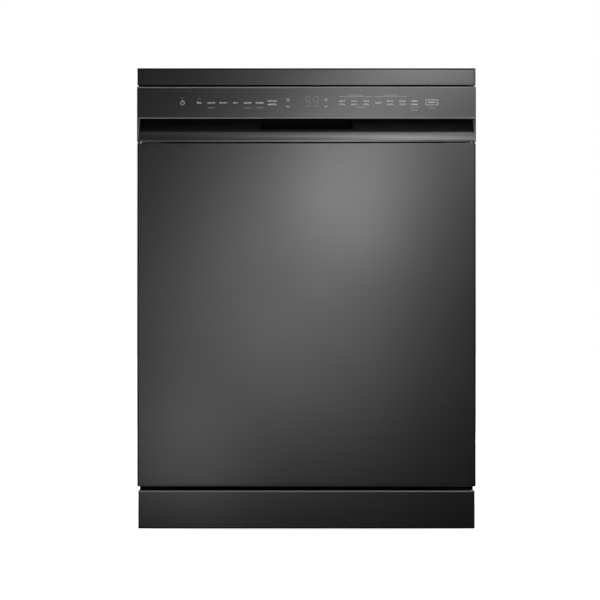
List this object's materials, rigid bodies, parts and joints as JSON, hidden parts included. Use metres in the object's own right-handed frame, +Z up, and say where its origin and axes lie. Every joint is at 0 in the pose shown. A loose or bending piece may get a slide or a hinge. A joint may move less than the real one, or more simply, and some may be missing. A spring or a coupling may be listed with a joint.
{
  "type": "under-counter dishwasher",
  "caption": "Under-counter dishwasher in brushed black steel with a drop-down door, hand recess, touch control panel, steel tub, racks, spray arms and levelling feet.",
  "frame": {"origin": "centre of the footprint on the floor", "axes": "+Z up, -Y out of the door's face, +X to the right seen from behind the door's face looking at +Y"},
  "size_m": [0.6, 0.6, 0.82],
  "materials": {
    "black_steel": "brushed black steel, satin",
    "black_trim": "satin black moulding",
    "grey_trim": "satin",
    "floor_plastic": "satin moulding",
    "lid_laminate": "fine-textured black laminate",
    "black_plastic": "matte",
    "grey_plastic": "satin",
    "white_plastic": "matte",
    "blue_plastic": "satin",
    "zinc_steel": "zinc plated",
    "tub_steel": "stainless, satin",
    "spring_steel": "bright",
    "rack_wire": "coated wire, satin",
    "seal_rubber": "matte",
    "display_glass": "smoked, polished",
    "circuit_board": "solder mask",
    "felt": "bitumen felt"
  },
  "bodies": {
    "cabinet": {"base_pan": "black_plastic", "side_panel_left": "black_steel", "side_panel_right": "black_steel", "rear_panel": "zinc_steel", "worktop_lid": "lid_laminate", "worktop_trim": "black_trim", "top_brace": "zinc_steel", "plinth_panel": "black_steel", "tub_wrapper": "tub_steel", "tub_floor": "floor_plastic", "door_gasket": "seal_rubber", "latch_striker": "zinc_steel", "hinge_brackets": "zinc_steel", "door_springs": "spring_steel", "rails_fixed": "tub_steel", "water_riser": "grey_plastic", "sump_housing": "grey_plastic", "filter_plate": "tub_steel", "softener_tank": "white_plastic", "pump_housing": "black_plastic", "drain_pump_housing": "black_plastic", "inlet_valve": "white_plastic", "drain_outlet": "grey_plastic", "cord_gland": "black_plastic"},
    "door": {"door_outer_panel": "black_steel", "handle_scoop": "black_trim", "handle_end_caps": "grey_trim", "control_panel": "black_steel", "display_window": "display_glass", "control_board": "circuit_board", "door_liner": "tub_steel", "door_frame": "zinc_steel", "door_insulation": "felt", "door_screws": "spring_steel", "latch_body": "black_plastic", "dispenser_body": "grey_plastic"},
    "latch_pawl": {"latch_pawl": "zinc_steel"},
    "detergent_lid": {"detergent_lid": "grey_plastic"},
    "rinse_aid_cap": {"rinse_aid_cap": "grey_plastic"},
    "foot_front_left": {"foot_front_left": "black_plastic"},
    "foot_front_right": {"foot_front_right": "black_plastic"},
    "foot_rear_left": {"foot_rear_left": "black_plastic"},
    "foot_rear_right": {"foot_rear_right": "black_plastic"},
    "lower_rack": {"lower_basket": "rack_wire"},
    "lower_wheels_front": {"lower_wheels_front": "grey_plastic"},
    "lower_wheels_rear": {"lower_wheels_rear": "grey_plastic"},
    "lower_tines_left": {"lower_tines_left": "rack_wire"},
    "lower_tines_mid": {"lower_tines_mid": "rack_wire"},
    "cutlery_basket": {"cutlery_basket": "grey_plastic"},
    "upper_rack": {"upper_basket": "rack_wire", "upper_feed_tube": "grey_plastic"},
    "rails_middle": {"rails_middle": "tub_steel"},
    "cup_shelf_left": {"cup_shelf_left": "grey_plastic"},
    "cup_shelf_right": {"cup_shelf_right": "grey_plastic"},
    "lower_spray_arm": {"lower_spray_arm": "grey_plastic"},
    "upper_spray_arm": {"upper_spray_arm": "grey_plastic"},
    "ceiling_sprinkler": {"ceiling_sprinkler": "grey_plastic"},
    "filter_cup": {"filter_cup": "grey_plastic"},
    "salt_cap": {"salt_cap": "blue_plastic"},
    "pump_rotor": {"pump_rotor": "spring_steel"}
  },
  "joints": [
    {"name": "door_hinge", "type": "hinge", "parent": "cabinet", "child": "door", "pos_m": [0, -0.268, 0.114], "axis": [1, 0, 0], "range_deg": [0, 90]},
    {"name": "lower_rack_slide", "type": "slide", "parent": "cabinet", "child": "lower_rack", "axis": [0, -1, 0], "range_m": [0, 0.1352]},
    {"name": "lower_wheels_front_turn", "type": "hinge", "parent": "lower_rack", "child": "lower_wheels_front", "pos_m": [0, -0.133, 0.1554], "axis": [1, 0, 0], "range_deg": [0, 484]},
    {"name": "lower_wheels_rear_turn", "type": "hinge", "parent": "lower_rack", "child": "lower_wheels_rear", "pos_m": [0, 0.15, 0.1554], "axis": [1, 0, 0], "range_deg": [0, 484]},
    {"name": "upper_rack_slide", "type": "slide", "parent": "cabinet", "child": "upper_rack", "axis": [0, -1, 0], "range_m": [0, 0.44]},
    {"name": "rails_middle_slide", "type": "slide", "parent": "cabinet", "child": "rails_middle", "axis": [0, -1, 0], "range_m": [0, 0.22]},
    {"name": "latch_pawl_pivot", "type": "hinge", "parent": "door", "child": "latch_pawl", "pos_m": [0, -0.25, 0.766], "axis": [-1, 0, 0], "range_deg": [0, 8], "stiffness_Nm_per_rad": 0.05},
    {"name": "detergent_lid_slide", "type": "slide", "parent": "door", "child": "detergent_lid", "axis": [0, 0, -1], "range_m": [0, 0.062]},
    {"name": "rinse_aid_cap_turn", "type": "hinge", "parent": "door", "child": "rinse_aid_cap", "pos_m": [0.035, -0.2525, 0.47], "axis": [0, 1, 0], "range_deg": [0, 90]},
    {"name": "foot_front_left_thread", "type": "slide", "parent": "cabinet", "child": "foot_front_left", "axis": [0, 0, -1], "range_m": [0, 0.05]},
    {"name": "foot_front_right_thread", "type": "slide", "parent": "cabinet", "child": "foot_front_right", "axis": [0, 0, -1], "range_m": [0, 0.05]},
    {"name": "foot_rear_left_thread", "type": "slide", "parent": "cabinet", "child": "foot_rear_left", "axis": [0, 0, -1], "range_m": [0, 0.05]},
    {"name": "foot_rear_right_thread", "type": "slide", "parent": "cabinet", "child": "foot_rear_right", "axis": [0, 0, -1], "range_m": [0, 0.05]},
    {"name": "lower_tines_left_fold", "type": "hinge", "parent": "lower_rack", "child": "lower_tines_left", "pos_m": [-0.19, 0, 0.178], "axis": [0, 1, 0], "range_deg": [0, 80]},
    {"name": "lower_tines_mid_fold", "type": "hinge", "parent": "lower_rack", "child": "lower_tines_mid", "pos_m": [-0.1, 0, 0.178], "axis": [0, 1, 0], "range_deg": [0, 80]},
    {"name": "cutlery_basket_lift", "type": "slide", "parent": "lower_rack", "child": "cutlery_basket", "axis": [0, 0, 1], "range_m": [0, 0.1]},
    {"name": "cup_shelf_left_fold", "type": "hinge", "parent": "upper_rack", "child": "cup_shelf_left", "pos_m": [-0.237, 0, 0.5615], "axis": [0, -1, 0], "range_deg": [0, 85]},
    {"name": "cup_shelf_right_fold", "type": "hinge", "parent": "upper_rack", "child": "cup_shelf_right", "pos_m": [0.237, 0, 0.5615], "axis": [0, 1, 0], "range_deg": [0, 85]},
    {"name": "lower_spray_arm_spin", "type": "hinge", "parent": "cabinet", "child": "lower_spray_arm", "pos_m": [0, 0.015, 0.1515], "axis": [0, 0, 1], "continuous": true},
    {"name": "upper_spray_arm_spin", "type": "hinge", "parent": "upper_rack", "child": "upper_spray_arm", "pos_m": [0, 0.015, 0.4525], "axis": [0, 0, 1], "continuous": true},
    {"name": "ceiling_sprinkler_spin", "type": "hinge", "parent": "cabinet", "child": "ceiling_sprinkler", "pos_m": [0, 0.015, 0.746], "axis": [0, 0, 1], "continuous": true},
    {"name": "filter_cup_turn", "type": "hinge", "parent": "cabinet", "child": "filter_cup", "pos_m": [0.075, -0.05, 0.1], "axis": [0, 0, 1], "range_deg": [0, 90]},
    {"name": "salt_cap_turn", "type": "hinge", "parent": "cabinet", "child": "salt_cap", "pos_m": [-0.165, -0.04, 0.13], "axis": [0, 0, 1], "range_deg": [0, 90]},
    {"name": "pump_rotor_spin", "type": "hinge", "parent": "cabinet", "child": "pump_rotor", "pos_m": [0.12, 0.15, 0.066], "axis": [1, 0, 0], "continuous": true}
  ],
  "couplings": [
    {"joint": "lower_rack_slide", "follows": "door_hinge", "m_per_rad": 0.086},
    {"joint": "lower_wheels_front_turn", "follows": "door_hinge", "ratio": 5.375},
    {"joint": "lower_wheels_rear_turn", "follows": "door_hinge", "ratio": 5.375},
    {"joint": "upper_rack_slide", "follows": "door_hinge", "m_per_rad": 0.28},
    {"joint": "rails_middle_slide", "follows": "door_hinge", "m_per_rad": 0.14}
  ]
}
